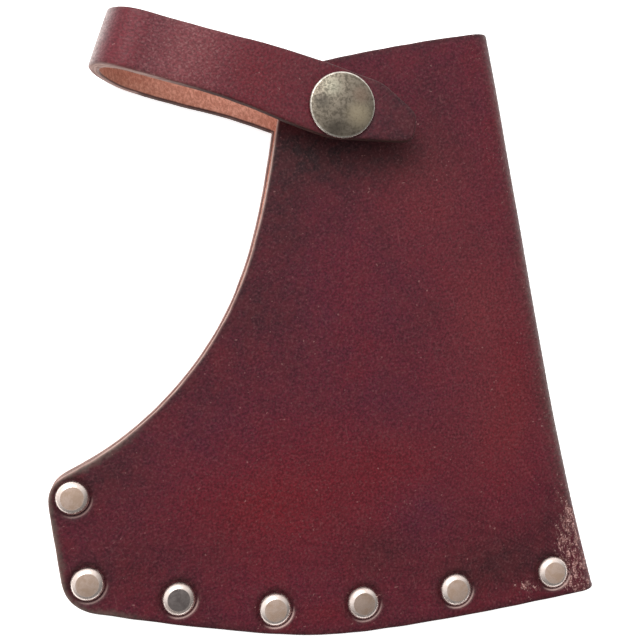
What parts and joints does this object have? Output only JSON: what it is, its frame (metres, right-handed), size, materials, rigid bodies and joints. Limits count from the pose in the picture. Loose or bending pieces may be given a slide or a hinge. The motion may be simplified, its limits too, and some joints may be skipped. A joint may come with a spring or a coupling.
{
  "type": "axe sheath",
  "caption": "Folded leather blade sheath for a felling axe, riveted along the blade's edge, with a looped strap that closes on a press stud.",
  "frame": {"origin": "centre of the bounding box's underside, with the sheath lying on its back on the rivets' back caps and the mouth's edge", "axes": "+Z out of the front panel, +Y towards the mouth, +X towards the folded edge; metres, rest pose with the strap snapped shut"},
  "size_m": [0.139, 0.1549, 0.0213],
  "materials": {
    "sheath_leather": "oxblood vegetable-tanned grain, satin",
    "welt_leather": "burnished brown cut edge",
    "rivet_nickel": "nickel-plated, satin disc and bright rim",
    "stud_nickel": "nickel-plated, tarnished",
    "spring_steel": "bright wire"
  },
  "bodies": {
    "sheath": {"sheath_body": "sheath_leather", "blade_welt": "welt_leather", "rivet_post_1": "rivet_nickel", "rivet_post_2": "rivet_nickel", "rivet_post_3": "rivet_nickel", "rivet_post_4": "rivet_nickel", "rivet_post_5": "rivet_nickel", "rivet_post_6": "rivet_nickel", "rivet_post_7": "rivet_nickel", "rivet_cap_1": "rivet_nickel", "rivet_cap_2": "rivet_nickel", "rivet_cap_3": "rivet_nickel", "rivet_cap_4": "rivet_nickel", "rivet_cap_5": "rivet_nickel", "rivet_cap_6": "rivet_nickel", "rivet_cap_7": "rivet_nickel", "snap_stud": "stud_nickel", "snap_post": "stud_nickel"},
    "closing_strap": {"strap": "sheath_leather", "snap_cap": "stud_nickel", "snap_socket": "stud_nickel", "snap_spring": "spring_steel"}
  },
  "joints": [
    {"name": "strap_swing", "type": "hinge", "parent": "sheath", "child": "closing_strap", "pos_m": [-0.05681, 0.07, 0.00952], "axis": [-0.3057, -0.9521, 0.0089], "range_deg": [0, 165], "deforming": ["snap_spring"]}
  ]
}
